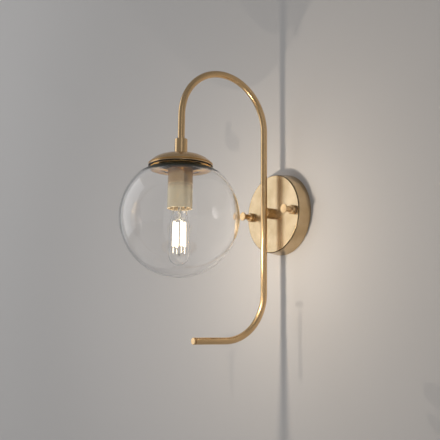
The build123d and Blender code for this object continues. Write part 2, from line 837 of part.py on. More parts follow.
def ground_screw():
    """Slotted pan head screw in the crossbar, clamping the ground lug."""
    under_head = CROSSBAR_T + LUG_T
    head_r, head_t = 4.0, 2.4
    shank = rod(GROUND_SCREW_R, 0, under_head)
    head = turned(
        outline(
            (0, under_head),
            (head_r, under_head),
            (head_r, under_head + head_t, 1.0),
            (0, under_head + head_t),
        )
    )
    slot = Pos(0, 0, under_head + head_t) * Box(3 * head_r, 1.0, head_t)
    return Pos(GROUND_X, 0, 0) * out_of_wall(shank + (head - slot))


def lug(hole_r, ring_w, reach):
    """Crimp lug lying flat: a ring, a neck along +Y, and a barrel on the neck that grips the wire."""
    grip_l = 4.5
    blade = Circle(hole_r + ring_w) + Pos(0, reach / 2) * Rectangle(4.0, reach)
    flat = extrude(blade - Circle(hole_r), LUG_T)
    along = Pos(0, reach, LUG_T + GROUND_WIRE_R) * Rot(90, 0, 0)
    grip = along * rod(GROUND_WIRE_R + 0.5, 0, grip_l)
    return (flat + grip) - along * rod(GROUND_WIRE_R, 0, grip_l)


STRAP_LUG_REACH = 9.0
CANOPY_LUG_REACH = 14.0


def ground_lugs():
    """A lug under the ground screw and one under the canopy's pipe nut."""
    strap_lug = Pos(GROUND_X, -CROSSBAR_T, 0) * out_of_wall(lug(GROUND_SCREW_R, 2.2, STRAP_LUG_REACH))
    facing_wall = Rot(-90, 0, 0) * Rot(0, 0, 180)
    canopy_lug = Pos(0, -WASHER_AT, 0) * facing_wall * lug(PIPE_HOLE_R, 2.4, CANOPY_LUG_REACH)
    return [strap_lug, canopy_lug]


def ground_wire():
    """Green wire from the canopy's lug to the ground screw's lug."""
    canopy_y = -(LUG_AT - GROUND_WIRE_R)
    strap_y = -(CROSSBAR_T + LUG_T + GROUND_WIRE_R)
    path = FilletPolyline(
        (0, canopy_y, CANOPY_LUG_REACH - 4.5),
        (0, canopy_y, 25.0),
        (GROUND_X, strap_y, 25.0),
        (GROUND_X, strap_y, STRAP_LUG_REACH - 4.5),
        radius=5.0,
    )
    return swept(Circle(GROUND_WIRE_R), path)


# ---- writing the pieces -------------------------------------------------------------------------------

PIECES = {
    "crossbar": crossbar,
    "mounting_studs": mounting_studs,
    "stud_nuts": stud_nuts,
    "canopy": canopy,
    "knob_left": lambda: knob_at(-1),
    "knob_right": lambda: knob_at(1),
    "knob_washer_left": lambda: knob_washer_at(-1),
    "knob_washer_right": lambda: knob_washer_at(1),
    "canopy_washer": canopy_washer,
    "canopy_nut": canopy_nut,
    "stub_pipe": stub_pipe,
    "wire_bushing": wire_bushing,
    "arm_stub": arm_stub,
    "arm_tube": arm_tube,
    "arm_end_plug": arm_end_plug,
    "arm_collar": arm_collar,
    "collar_grub_screw": collar_grub_screw,
    "lamp_pipe": lamp_pipe,
    "fitter_cap": fitter_cap,
    "cap_nut": cap_nut,
    "glass_gallery": glass_gallery,
    "globe_seal": globe_seal,
    "glass_globe": glass_globe,
    "socket_cup": socket_cup,
    "cup_nut": cup_nut,
    "holder_cap": holder_cap,
    "holder_body": holder_body,
    "screw_shell": screw_shell,
    "centre_contact": centre_contact,
    "bulb_base": bulb_base,
    "bulb_insulator": bulb_insulator,
    "bulb_tip_contact": bulb_tip_contact,
    "bulb_glass": bulb_glass,
    "bulb_stem": bulb_stem,
    "led_filaments": led_filaments,
    "bulb_leads": bulb_leads,
    "live_wire": live_wire,
    "neutral_wire": neutral_wire,
    "ground_wire": ground_wire,
    "ground_screw": ground_screw,
    "ground_lugs": ground_lugs,
}


def write_pieces():
    """Write every piece to parts/NAME.step."""
    os.makedirs("parts", exist_ok=True)
    for name, make in PIECES.items():
        made = make()
        shape = Compound(children=made) if isinstance(made, list) else made
        export_step(shape, f"parts/{name}.step")


write_pieces()
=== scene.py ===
"""Globe wall sconce in satin brass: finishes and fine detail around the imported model."""

import json
import math

import bmesh
import bpy
from mathutils import Matrix, Vector


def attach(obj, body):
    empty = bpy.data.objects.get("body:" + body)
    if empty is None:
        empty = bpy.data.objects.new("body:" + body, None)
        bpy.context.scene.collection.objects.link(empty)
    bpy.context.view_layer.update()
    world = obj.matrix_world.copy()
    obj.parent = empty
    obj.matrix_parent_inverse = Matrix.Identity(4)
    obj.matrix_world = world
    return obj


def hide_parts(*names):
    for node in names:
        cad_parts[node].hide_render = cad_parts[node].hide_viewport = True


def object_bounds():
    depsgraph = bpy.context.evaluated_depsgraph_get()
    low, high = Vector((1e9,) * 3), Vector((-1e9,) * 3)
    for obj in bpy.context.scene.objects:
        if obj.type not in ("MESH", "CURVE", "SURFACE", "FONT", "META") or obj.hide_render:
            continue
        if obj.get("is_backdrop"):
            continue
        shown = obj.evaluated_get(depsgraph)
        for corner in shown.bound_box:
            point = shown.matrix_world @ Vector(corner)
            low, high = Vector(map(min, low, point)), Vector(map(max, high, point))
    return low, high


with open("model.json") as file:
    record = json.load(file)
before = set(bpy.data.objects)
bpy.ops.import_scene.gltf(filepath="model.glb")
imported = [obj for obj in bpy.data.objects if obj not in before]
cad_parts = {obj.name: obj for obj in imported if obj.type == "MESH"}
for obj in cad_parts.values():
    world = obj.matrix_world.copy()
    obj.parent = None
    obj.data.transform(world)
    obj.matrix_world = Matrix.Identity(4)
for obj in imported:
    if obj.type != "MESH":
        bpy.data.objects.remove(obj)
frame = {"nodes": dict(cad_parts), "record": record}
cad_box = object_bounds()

MM = 0.001
NODES = frame["nodes"]

# ---- where things are, in millimetres -----------------------------------------------------------------

LAMP_Y = -173.0
LAMP_AXIS = (0, LAMP_Y, 0)
FOOT_Z = -174.8
KNOB_X = 44.45
UP = (0, 0, 1)
OUT_OF_WALL = (0, 1, 0)

# ---- camera: fitted to the photograph -----------------------------------------------------------------

CAMERA_AT = Vector((0.709109, -0.623610, -0.154388))
CAMERA_TURN = math.radians(54.081)
CAMERA_LIFT = math.radians(8.869)
CAMERA_ROLL = math.radians(0.62)
LENS_PER_FRAME = 672.32 / 440.0
SENSOR = 36.0


def make_camera():
    data = bpy.data.cameras.new("camera")
    data.sensor_width = SENSOR
    data.lens = SENSOR * LENS_PER_FRAME
    camera = bpy.data.objects.new("camera", data)
    bpy.context.scene.collection.objects.link(camera)
    forward = Vector(
        (
            -math.sin(CAMERA_TURN) * math.cos(CAMERA_LIFT),
            math.cos(CAMERA_TURN) * math.cos(CAMERA_LIFT),
            math.sin(CAMERA_LIFT),
        )
    )
    level_right = forward.cross(Vector(UP)).normalized()
    level_up = level_right.cross(forward)
    right = level_right * math.cos(CAMERA_ROLL) + level_up * math.sin(CAMERA_ROLL)
    up = level_up * math.cos(CAMERA_ROLL) - level_right * math.sin(CAMERA_ROLL)
    turn = Matrix((right, up, -forward)).transposed().to_4x4()
    camera.matrix_world = Matrix.Translation(CAMERA_AT) @ turn
    bpy.context.scene.camera = camera


# ---- shader language ----------------------------------------------------------------------------------

CLEAR = (1, 1, 1, 1)


def srgb(red, green, blue):
    """A colour as seen on screen, 0 to 255, as the linear colour that a shader takes."""

    def linear(value):
        value /= 255.0
        return value / 12.92 if value <= 0.04045 else ((value + 0.055) / 1.055) ** 2.4

    return (linear(red), linear(green), linear(blue), 1.0)


class Reading:
    """One output socket of a node; arithmetic on it adds Math nodes."""

    def __init__(self, nodes, socket):
        self.nodes = nodes
        self.socket = socket

    def out(self, name):
        """Another output of the same node."""
        return Reading(self.nodes, self.socket.node.outputs[name])

    def math(self, operation, *values, **settings):
        return self.nodes.node("Math", {"operation": operation, **settings}, dict(enumerate(values)))

    def __add__(self, other):
        return self.math("ADD", self, other)

    __radd__ = __add__

    def __sub__(self, other):
        return self.math("SUBTRACT", self, other)

    def __rsub__(self, other):
        return self.math("SUBTRACT", other, self)

    def __mul__(self, other):
        return self.math("MULTIPLY", self, other)

    __rmul__ = __mul__

    def clamped(self):
        return self.math("ADD", self, 0.0, use_clamp=True)

    def over(self, other):
        """The larger of two values."""
        return self.math("MAXIMUM", self, other)

    def band(self, low, high):
        """0 below low, 1 above high, smooth between."""
        ends = {"Value": self, "From Min": low, "From Max": high}
        return self.nodes.node("MapRange", {"interpolation_type": "SMOOTHSTEP"}, ends)

    def past(self, edge):
        """0 before a soft edge, 1 after it; the reading is in metres, the edge's two ends in millimetres."""
        low, high = edge
        return self.band(low * MM, high * MM)


class Nodes:
    """The nodes of one finish, one lamp or the room."""

    # Socket numbers of a Mix node that mixes colours.
    MIX_SHARE, MIX_FIRST, MIX_SECOND, MIX_COLOUR_OUT = 0, 6, 7, 2

    def __init__(self, tree):
        self.tree = tree

    def feed(self, node, sockets):
        """Link or set inputs of a node."""
        for name, value in sockets.items():
            socket = node.inputs[name]
            if isinstance(value, Reading):
                self.tree.links.new(value.socket, socket)
            else:
                socket.default_value = value

    def node(self, kind, settings=None, sockets=None):
        """Add a node: its settings first, then the values or links of its sockets."""
        made = self.tree.nodes.new("ShaderNode" + kind)
        for name, value in (settings or {}).items():
            setattr(made, name, value)
        self.feed(made, sockets or {})
        return Reading(self, made.outputs[0])

    def mix(self, share, first, second):
        """A colour between two."""
        sockets = {self.MIX_SHARE: share, self.MIX_FIRST: first, self.MIX_SECOND: second}
        made = self.node("Mix", {"data_type": "RGBA"}, sockets)
        return Reading(self, made.socket.node.outputs[self.MIX_COLOUR_OUT])

    def vector(self, operation, first, second):
        """Vector arithmetic; LENGTH and DOT_PRODUCT give a plain number."""
        made = self.node("VectorMath", {"operation": operation}, {0: first, 1: second})
        return made.out("Value") if operation in ("LENGTH", "DOT_PRODUCT") else made

    def length(self, vector):
        return self.vector("LENGTH", vector, (0, 0, 0))

    def blend(self, share, first, second):
        """A surface between two."""
        return self.node("MixShader", {}, {0: share, 1: first, 2: second})

    def rays(self, *kinds):
        """1 for rays of these kinds, 0 for others."""
        path = self.node("LightPath")
        share, *others = [path.out(f"Is {kind} Ray") for kind in kinds]
        for other in others:
            share = share.over(other)
        return share


class Finish(Nodes):
    """A material: one principled surface and the nodes behind it."""

    def __init__(self, name, **plain):
        self.material = bpy.data.materials.new(name)
        self.material.use_nodes = True
        super().__init__(self.material.node_tree)
        self.surface = self.tree.nodes["Principled BSDF"]
        self.output = self.tree.nodes["Material Output"]
        self.set(**plain)

    def set(self, **sockets):
        self.feed(self.surface, {name.replace("_", " "): value for name, value in sockets.items()})

    def place(self):
        """Where a point is in the shared frame, in metres, riding with its body."""
        return self.node("TexCoord").out("Object")

    def height(self):
        """Height of a point, in metres."""
        return self.vector("DOT_PRODUCT", self.place(), UP)

    def facing_up(self):
        """1 where the side that is seen looks up, -1 where it looks down."""
        return self.vector("DOT_PRODUCT", self.node("NewGeometry").out("Normal"), UP)

    def noise(self, scale, detail=3.0, roughness=0.5, where=None):
        sockets = {"Scale": scale, "Detail": detail, "Roughness": roughness}
        sockets["Vector"] = where or self.place()
        return self.node("TexNoise", {}, sockets)

    def turning(self, centre, along, scale):
        """Noise in rings about an axis, as a lathe or a polishing wheel leaves it."""
        away = self.vector("SUBTRACT", self.place(), [MM * value for value in centre])
        across = self.vector("MULTIPLY", away, [1 - abs(value) for value in along])
        depth = self.vector("DOT_PRODUCT", away, along)
        ringed = self.node("CombineXYZ", {}, {"X": self.length(across), "Y": depth})
        return self.noise(scale, roughness=0.6, where=ringed)

    def bump(self, height, distance, strength=0.3):
        return self.node("Bump", {}, {"Height": height, "Distance": distance, "Strength": strength})

    def own(self):
        """The principled surface itself."""
        return Reading(self, self.surface.outputs[0])

    def show(self, surface):
        self.feed(self.output, {"Surface": surface})

    def let_through(self, surface, share):
        """Show a surface, except to the share of rays that pass it."""
        clear = self.node("BsdfTransparent", {}, {"Color": CLEAR})
        self.show(self.blend(share, surface, clear))


# ---- brass --------------------------------------------------------------------------------------------

BRASS_LIGHT = srgb(210, 186, 149)
BRASS_DEEP = srgb(188, 163, 124)
BRASS_WARM = srgb(222, 184, 132)
# Painted shade above and inside the socket cup, and painted light on its lower half.
CUP_PAINTED_SHADE = srgb(150, 112, 66)
CUP_PAINTED_LIGHT = srgb(242, 224, 186)
CUP_INSIDE_PAINTED_SHADE = srgb(112, 92, 60)
# Painted light under the fitter cap, and painted shadow along its lip's lower edge.
CAP_UNDERSIDE_PAINTED_LIGHT = srgb(232, 190, 124)
LIP_PAINTED_SHADOW = srgb(40, 31, 19)
# A dark reflection painted into the canopy's edge.
CANOPY_EDGE_PAINTED_REFLECTION = srgb(96, 74, 40)
POLISHED = 0.92
CLOUD_SCALE = 42.0
PAD_GRAIN_SCALE = 1700.0
RING_SCALE = 900.0
FINE_RELIEF = 0.00002

# Soft edges between shades, each from one distance to another in millimetres.
CUP_SHADE_HEIGHT = (11, 27)
CUP_SKIN_R = (15.0, 15.6)
LIP_DARK_HEIGHT = (44.9, 45.5)
LIP_SKIN_R = (39.5, 39.8)
SKIRT_INSIDE_R = (39.0, 39.3)
SKIRT_HEIGHT = (48.0, 48.6)
CANOPY_EDGE_R = (53.6, 54.1)
CANOPY_EDGE_DEPTH = (18.7, 19.2)


def satin_brass(name, shade, centre=None, along=UP):
    """Lacquered satin brass: soft clouding, fine pad grain, turning rings, and a piece's own shading, which
    on some pieces is painted light and shade.
    """
    brass = Finish(name, Metallic=POLISHED, Coat_Weight=0.2, Coat_Roughness=0.3)
    cloud = brass.noise(CLOUD_SCALE, detail=2.0)
    grain = brass.noise(PAD_GRAIN_SCALE)
    relief = grain
    if centre:
        relief = 0.35 * grain + 0.65 * brass.turning(centre, along, RING_SCALE)
    colour = brass.mix((0.75 * cloud + 0.25 * relief).band(0.3, 0.7), BRASS_DEEP, BRASS_LIGHT)
    brass.set(
        Base_Color=shade(brass, colour),
        Roughness=0.17 + 0.07 * cloud + 0.09 * relief,
        Normal=brass.bump(relief, FINE_RELIEF),
    )
    return brass.material


def from_lamp_axis(brass):
    """Distance from the axis of cap, cup and bulb, in metres."""
    away = brass.vector("SUBTRACT", brass.place(), (0, LAMP_Y * MM, 0))
    return brass.length(brass.vector("MULTIPLY", away, (1, 1, 0)))


def warm(brass, colour):
    """The arm and its fittings, a shade redder than the canopy."""
    return brass.mix(0.7, colour, BRASS_WARM)


def lit_sleeve(brass, colour):
    """The socket cup: deep painted shade above, pale painted light below, dull painted shade inside."""
    # The pale lower half is painted light: the bulb's light thrown back onto the cup by the globe.
    lower = 1.0 - brass.height().past(CUP_SHADE_HEIGHT)
    outside = from_lamp_axis(brass).past(CUP_SKIN_R)
    brass.set(Metallic=POLISHED - 0.6 * lower)
    shell = brass.mix(lower, brass.mix(0.55, colour, CUP_PAINTED_SHADE), CUP_PAINTED_LIGHT)
    return brass.mix(outside, CUP_INSIDE_PAINTED_SHADE, shell)


def lip_shadow_and_underside_light(brass, colour):
    """The fitter cap: painted shadow along the lip's lower edge, and brighter, more matt painted light
    underneath.
    """
    low = 1.0 - brass.height().past(LIP_DARK_HEIGHT)
    dark = low * from_lamp_axis(brass).past(LIP_SKIN_R)
    within = 1.0 - from_lamp_axis(brass).past(SKIRT_INSIDE_R)
    skirt = within * (1.0 - brass.height().past(SKIRT_HEIGHT))
    underneath = 1.0 - brass.facing_up().band(-0.5, -0.1)
    # Painted light underneath and inside the skirt, where the bulb lights the cap; painted shadow on the
    # lip.
    bulb_lit = underneath.over(skirt) * (1.0 - dark)
    brass.set(Metallic=POLISHED - 0.72 * bulb_lit)
    return brass.mix(dark, brass.mix(bulb_lit, warm(brass, colour), CAP_UNDERSIDE_PAINTED_LIGHT), LIP_PAINTED_SHADOW)


def edge_painted_reflection(brass, colour):
    """The canopy's pressed edge, with a dark reflection painted in the round between face and side."""
    radius = brass.length(brass.vector("MULTIPLY", brass.place(), (1, 0, 1)))
    depth = 0.0 - brass.vector("DOT_PRODUCT", brass.place(), OUT_OF_WALL)
    ring = radius.past(CANOPY_EDGE_R) * depth.past(CANOPY_EDGE_DEPTH)
    return brass.mix(ring, colour, CANOPY_EDGE_PAINTED_REFLECTION)


def plain_brass():
    """Machined brass that the lacquer never reached."""
    brass = Finish("machined_brass", Metallic=1.0)
    wear = brass.noise(160.0, detail=4.0)
    brass.set(
        Base_Color=brass.mix(wear.band(0.35, 0.7), srgb(176, 140, 74), srgb(206, 172, 104)),
        Roughness=0.24 + 0.16 * wear,
        Normal=brass.bump(brass.noise(2600.0), FINE_RELIEF),
    )
    return brass.material


def gallery_shade_brass():
    """The gallery's brass, painted dark brown as shade, so that the gap under the cap's lip stays dark."""
    brass = Finish("gallery_painted_shade", Metallic=0.9)
    cloud = brass.noise(120.0, detail=4.0)
    brass.set(
        # Painted shade: both browns stand for the shadow inside the cap.
        Base_Color=brass.mix(cloud.band(0.35, 0.65), srgb(66, 50, 30), srgb(98, 76, 46)),
        Roughness=0.4 + 0.15 * cloud,
        Normal=brass.bump(brass.noise(1800.0), FINE_RELIEF),
    )
    return brass.material


# ---- glass --------------------------------------------------------------------------------------------

THICK_FADES_IN = 4.0
THICK_FADES_OUT = 0.6


def clear_glass(name, edge, ripple, thick_between, gloss, ior):
    """Blown glass: clear face on, and thick and dark between two heights where it is seen edge on; on the
    globe's shoulder that band is also a painted reflection.
    """
    glass = Finish(name, Transmission_Weight=1.0, IOR=ior, Roughness=0.0, Specular_IOR_Level=gloss)
    wave = glass.noise(14.0, detail=1.0)
    streaks = glass.noise(90.0, detail=2.0)
    facing = glass.node("LayerWeight", {}, {"Blend": 0.5}).out("Facing")
    low, high = thick_between
    above = glass.height().past((low, low + THICK_FADES_IN))
    thick = above * (1.0 - glass.height().past((high - THICK_FADES_OUT, high)))
    rim = 0.08 * facing.band(0.86, 0.98)
    glass.set(Base_Color=glass.mix(rim, CLEAR, edge), Normal=glass.bump(wave, ripple, 0.4))
    # On the globe's near shoulder the dark band is partly thick glass and partly a painted reflection of the
    # shade under the cap's lip.
    near = glass.facing_up().band(0.0, 0.12)
    edge_band = (facing.band(0.44, 0.62) * thick * near * (0.8 + 0.5 * streaks)).clamped()
    matt = {"Base Color": edge, "Roughness": 0.3, "Specular IOR Level": 0.2}
    bottle = glass.node("BsdfPrincipled", {}, matt)
    glass.let_through(glass.blend(edge_band, glass.own(), bottle), glass.rays("Shadow", "Diffuse"))
    return glass.material


def stem_glass():
    """Pressed glass of the bulb's stem: milky where it was pinched round the wires."""
    stem = Finish("stem_glass", Transmission_Weight=0.6, IOR=1.5)
    cloud = stem.noise(260.0, detail=2.0)
    stem.set(
        Base_Color=stem.mix(cloud, srgb(222, 220, 210), srgb(244, 243, 236)),
        Roughness=0.18 + 0.2 * cloud,
        Normal=stem.bump(cloud, 0.0001),
    )
    return stem.material


# ---- steel, mouldings, wire and filament --------------------------------------------------------------


def plated_steel():
    """Zinc plate: grey with a spangle of lighter and darker patches."""
    steel = Finish("zinc_plate", Metallic=1.0)
    patches = {"Vector": steel.place(), "Scale": 420.0}
    spangle = steel.node("TexVoronoi", {"feature": "SMOOTH_F1"}, patches)
    cloud = steel.noise(60.0)
    shade = (spangle * 0.6 + cloud * 0.4).band(0.2, 0.7)
    steel.set(
        Base_Color=steel.mix(shade, srgb(150, 151, 150), srgb(188, 189, 186)),
        Roughness=0.34 + 0.14 * cloud,
        Normal=steel.bump(spangle, FINE_RELIEF, 0.25),
    )
    return steel.material


def moulded(name, low, high, roughness):
    """Moulded plastic or rubber: faint flow marks and a fine spark-eroded grain."""
    plastic = Finish(name, Metallic=0.0)
    flow = plastic.noise(55.0, detail=2.0)
    grain = plastic.noise(2200.0, detail=2.0)
    plastic.set(
        Base_Color=plastic.mix(flow.band(0.3, 0.7), low, high),
        Roughness=roughness + 0.1 * (grain - 0.5),
        Normal=plastic.bump(grain, 0.00003),
    )
    return plastic.material


def lit_filament():
    """Phosphor coating, lit; it doesn't stand in the way of the light that it gives."""
    glow = Finish("lit_filament", Roughness=0.6)
    speckle = glow.noise(900.0, detail=2.0)
    glow.set(
        Base_Color=glow.mix(speckle, srgb(255, 214, 120), srgb(255, 226, 150)),
        Emission_Color=glow.mix(speckle, srgb(255, 238, 214), srgb(255, 246, 230)),
        Emission_Strength=2.6,
    )
    glow.let_through(glow.own(), glow.rays("Shadow"))
    return glow.material


def wire_metal(name, low, high, fine=False):
    """Drawn wire or solder: bright with a dull bloom; fine wire throws no shadow worth seeing."""
    wire = Finish(name, Metallic=1.0)
    bloom = wire.noise(700.0)
    wire.set(Base_Color=wire.mix(bloom, low, high), Roughness=0.25 + 0.2 * bloom)
    if fine:
        wire.let_through(wire.own(), wire.rays("Shadow"))
    return wire.material


# ---- which piece has which finish ---------------------------------------------------------------------

GLOBE_GLASS = {
    "edge": srgb(18, 34, 25),
    "ripple": 0.0004,
    "thick_between": (31.0, 43.2),
    "gloss": 0.06,
    "ior": 1.5,
}
BULB_GLASS = {
    "edge": srgb(214, 208, 190),
    "ripple": 0.0001,
    "thick_between": (-20.0, 4.0),
    "gloss": 0.12,
    "ior": 1.25,
}

FINISHES = {
    "brass": satin_brass("satin_brass", warm),
    "plain_brass": plain_brass(),
    "zinc_steel": plated_steel(),
    "green_screw": moulded("green_zinc", srgb(14, 84, 40), srgb(26, 112, 58), 0.3),
    "clear_glass": clear_glass("globe_glass", **GLOBE_GLASS),
    "bulb_glass": clear_glass("bulb_glass", **BULB_GLASS),
    "silicone": moulded("silicone", srgb(196, 196, 190), srgb(214, 214, 208), 0.5),
    "nylon": moulded("nylon", srgb(214, 210, 198), srgb(228, 225, 214), 0.45),
    "moulding": moulded("black_moulding", srgb(20, 20, 21), srgb(32, 32, 33), 0.4),
    "bronze": wire_metal("bronze_strip", srgb(176, 122, 78), srgb(204, 150, 102)),
    "insulator": moulded("black_glass_insulator", srgb(10, 10, 12), srgb(18, 18, 20), 0.15),
    "solder": wire_metal("solder", srgb(150, 150, 152), srgb(186, 186, 188)),
    "filament": lit_filament(),
    "lead_wire": wire_metal("lead_wire", srgb(150, 148, 142), srgb(190, 188, 180), fine=True),
    "wire_black": moulded("black_insulation", srgb(14, 14, 15), srgb(24, 24, 25), 0.38),
    "wire_white": moulded("white_insulation", srgb(222, 221, 214), srgb(234, 233, 228), 0.38),
    "wire_green": moulded("green_insulation", srgb(22, 96, 44), srgb(34, 122, 60), 0.38),
}

OWN_FINISHES = {
    "canopy": satin_brass("canopy_brass", edge_painted_reflection, (0, 0, 0), OUT_OF_WALL),
    "arm_stub": satin_brass("stub_brass", warm, (0, 0, 0), OUT_OF_WALL),
    "arm_end_plug": satin_brass("plug_brass", warm, (0, 0, FOOT_Z), OUT_OF_WALL),
    "knob_left": satin_brass("left_knob_brass", warm, (-KNOB_X, 0, 0), OUT_OF_WALL),
    "knob_right": satin_brass("right_knob_brass", warm, (KNOB_X, 0, 0), OUT_OF_WALL),
    "bulb_stem": stem_glass(),
    "socket_cup": satin_brass("cup_brass", lit_sleeve, LAMP_AXIS),
    "fitter_cap": satin_brass("cap_brass", lip_shadow_and_underside_light, LAMP_AXIS),
    "arm_collar": satin_brass("collar_brass", warm, LAMP_AXIS),
}


def finish_nodes():
    """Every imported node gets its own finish, or else the finish of its slot."""
    for part in frame["record"]["subparts"]:
        node = NODES[part["node"]]
        node.data.materials.clear()
        node.data.materials.append(OWN_FINISHES.get(part["node"], FINISHES[part["material_slot"]]))


# ---- building pieces ----------------------------------------------------------------------------------


def on_lamp_axis(r, turn, h):
    """A place round the lamp's axis, from a radius, an angle and a height in millimetres."""
    return MM * Vector((r * math.cos(turn), LAMP_Y + r * math.sin(turn), h))


def off_wall(x):
    """Places round an axis that points out of the wall; the height is the distance from it."""
    return lambda r, turn, h: MM * Vector((x + r * math.cos(turn), -h, r * math.sin(turn)))


def skinned(rings, hollow):
    """A closed skin over a stack of rings; a hollow one joins its last ring to its first."""
    shape = bmesh.new()
    rows = [[shape.verts.new(point) for point in ring] for ring in rings]
    pairs = list(zip(rows, rows[1:]))
    if hollow:
        pairs.append((rows[-1], rows[0]))
    else:
        shape.faces.new(reversed(rows[0]))
        shape.faces.new(rows[-1])
    for low, high in pairs:
        for index, corner in enumerate(low):
            after = (index + 1) % len(low)
            shape.faces.new((corner, low[after], high[after], high[index]))
    bmesh.ops.recalc_face_normals(shape, faces=shape.faces)
    return shape


def turned(place, profile, around, hollow=False, relief=None):
    """Spin (radius, height) points; relief adds to the radius from the turn, the height and the point."""
    rings = []
    for number, (r, h) in enumerate(profile):
        ring = []
        for step in range(around):
            turn = 2 * math.pi * step / around
            ring.append(place(r + (relief(turn, h, number) if relief else 0.0), turn, h))
        rings.append(ring)
    return skinned(rings, hollow)


def joined(shapes):
    """Several bmeshes as one."""
    whole = bmesh.new()
    for shape in shapes:
        part = bpy.data.meshes.new("part")
        shape.to_mesh(part)
        shape.free()
        whole.from_mesh(part)
        bpy.data.meshes.remove(part)
    return whole


def piece(name, shape, body, slot, *nodes, finish=None, sharp=34):
    """Make an object of a bmesh or a mesh, with its finish or its slot's finish, its body and the nodes it
    replaces.
    """
    mesh = shape
    if isinstance(shape, bmesh.types.BMesh):
        mesh = bpy.data.meshes.new(name)
        shape.to_mesh(mesh)
        shape.free()
    mesh.shade_smooth()
    mesh.set_sharp_from_angle(angle=math.radians(sharp))
    mesh.materials.clear()
    mesh.materials.append(finish or FINISHES[slot])
    made = bpy.data.objects.new(name, mesh)
    bpy.context.scene.collection.objects.link(made)
    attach(made, body)
    if nodes:
        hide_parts(*nodes)


def steps(low, high, count):
    """Evenly spaced heights, both ends among them."""
    return [low + (high - low) * index / (count - 1) for index in range(count)]


def smooth_step(value, low, high):
    share = min(1.0, max(0.0, (value - low) / (high - low)))
    return share * share * (3 - 2 * share)


def arc(centre, radius, start, end, count):
    """Points on an arc in section; angles in radians from level."""
    turns = steps(start, end, count)
    return [(centre[0] + radius * math.cos(turn), centre[1] + radius * math.sin(turn)) for turn in turns]


# ---- threads ------------------------------------------------------------------------------------------

STUD = {"radius": 2.08, "length": 28.6, "pitch": 0.794, "depth": 0.32, "tip": 0.8}
PIPE = {"radius": 4.85, "bore": 3.4, "pitch": 0.94, "depth": 0.4}
PIPE_CHAMFER = 0.5
STUB_PIPE_FROM = 11.4
STUB_PIPE_TO = 27.5
LAMP_PIPE_LOW = 44.5
LAMP_PIPE_TOP = 70.0
ROWS_PER_TURN = 8
THREAD_SHARP = 60


def groove(turn, h, pitch):
    """A right-hand thread: 0 on its crest, 1 in its groove."""
    return 0.5 - 0.5 * math.cos(2 * math.pi * (h / pitch - turn / (2 * math.pi)))


def threaded_rod(place, radius, length, pitch, depth, tip):
    """A rod with a coned tip; the cone cuts into the thread."""
    rows = steps(0.0, length, int(length / pitch * ROWS_PER_TURN))
    limit = [min(radius, radius - tip + (length - h)) for h in rows]

    def relief(turn, h, number):
        return min(0.0, radius - depth * groove(turn, h, pitch) - limit[number])

    return turned(place, list(zip(limit, rows)), around=24, relief=relief)


def threaded_pipe(place, low, high, radius, bore, pitch, depth):
    """A pipe with a chamfer at both ends; its outside is threaded over its whole length."""
    rows = steps(low, high, int((high - low) / pitch * ROWS_PER_TURN))
    outside = [(radius - max(0.0, PIPE_CHAMFER - (h - low), PIPE_CHAMFER - (high - h)), h) for h in rows]
    inside = [(bore, high), (bore, low)]

    def relief(turn, h, number):
        if number >= len(rows):
            return 0.0
        return min(0.0, radius - depth * groove(turn, h, pitch) - outside[number][0])

    return turned(place, outside + inside, around=40, hollow=True, relief=relief)


def make_threads():
    studs = [threaded_rod(off_wall(side * KNOB_X), **STUD) for side in (-1, 1)]
    piece("threaded_studs", joined(studs), "fixture", "zinc_steel", "mounting_studs", sharp=THREAD_SHARP)
    stub_pipe = threaded_pipe(off_wall(0), STUB_PIPE_FROM, STUB_PIPE_TO, **PIPE)
    piece("threaded_stub_pipe", stub_pipe, "fixture", "zinc_steel", "stub_pipe")
    lamp_pipe = threaded_pipe(on_lamp_axis, LAMP_PIPE_LOW, LAMP_PIPE_TOP, **PIPE)
    piece("threaded_lamp_pipe", lamp_pipe, "fixture", "zinc_steel", "lamp_pipe")


# ---- the bulb's base and the shell that it screws into ------------------------------------------------

BASE_PITCH = 2.54
ROLL_DEPTH = 0.42
ROLL_TURNS = 72
# Keeps the last row of a thread in it, whatever its height is rounded to.
HAIR = 0.01

BASE_R = 5.96
BASE_SHEET = 0.35
BASE_THREAD_LOW = 4.4
BASE_THREAD_FULL = 5.3
BASE_THREAD_FADES = 15.2
BASE_THREAD_HIGH = 16.4
BASE_RIM = [(6.25, 2.4), (6.2, 3.0), (6.02, 3.9)]
BASE_RIM_INSIDE = (5.9, 2.4)
BASE_NECK = [(5.4, 16.8), (5.05, 17.0)]
BASE_NECK_INSIDE = (5.05, 16.65)

SHELL_R = 6.02
SHELL_SHEET = 0.33
SHELL_LOW = 4.6
SHELL_THREAD_LOW = 5.4
SHELL_THREAD_FULL = 6.4
SHELL_THREAD_FADES = 16.8
SHELL_THREAD_HIGH = 17.8
SHELL_TOP = 18.5
SHELL_TOP_INSIDE = 18.17
SHELL_HOLE_R = 4.4
TAB_SIZE = (0.33, 3.0, 10.83)
TAB_AT = (-6.18, LAMP_Y, 23.58)


def make_bulb_base():
    """Thin sheet with a rolled thread, drawn in to a neck above."""
    rows = steps(BASE_THREAD_LOW, BASE_THREAD_HIGH, count=60)

    def relief(turn, h, number):
        if not BASE_THREAD_LOW <= h <= BASE_THREAD_HIGH + HAIR:
            return 0.0
        runout = smooth_step(h, BASE_THREAD_FADES, BASE_THREAD_HIGH)
        rolled = max(groove(turn, h, BASE_PITCH), runout)
        return -ROLL_DEPTH * (rolled * smooth_step(h, BASE_THREAD_LOW, BASE_THREAD_FULL))

    outside = [*BASE_RIM, *((BASE_R, h) for h in rows), *BASE_NECK]
    inside = [(r - BASE_SHEET, h) for r, h in reversed(outside[1:-2])]
    profile = [*outside, BASE_NECK_INSIDE, *inside, BASE_RIM_INSIDE]
    base = turned(on_lamp_axis, profile, ROLL_TURNS, hollow=True, relief=relief)
    piece("rolled_bulb_base", base, "bulb_body", "plain_brass", "bulb_base")


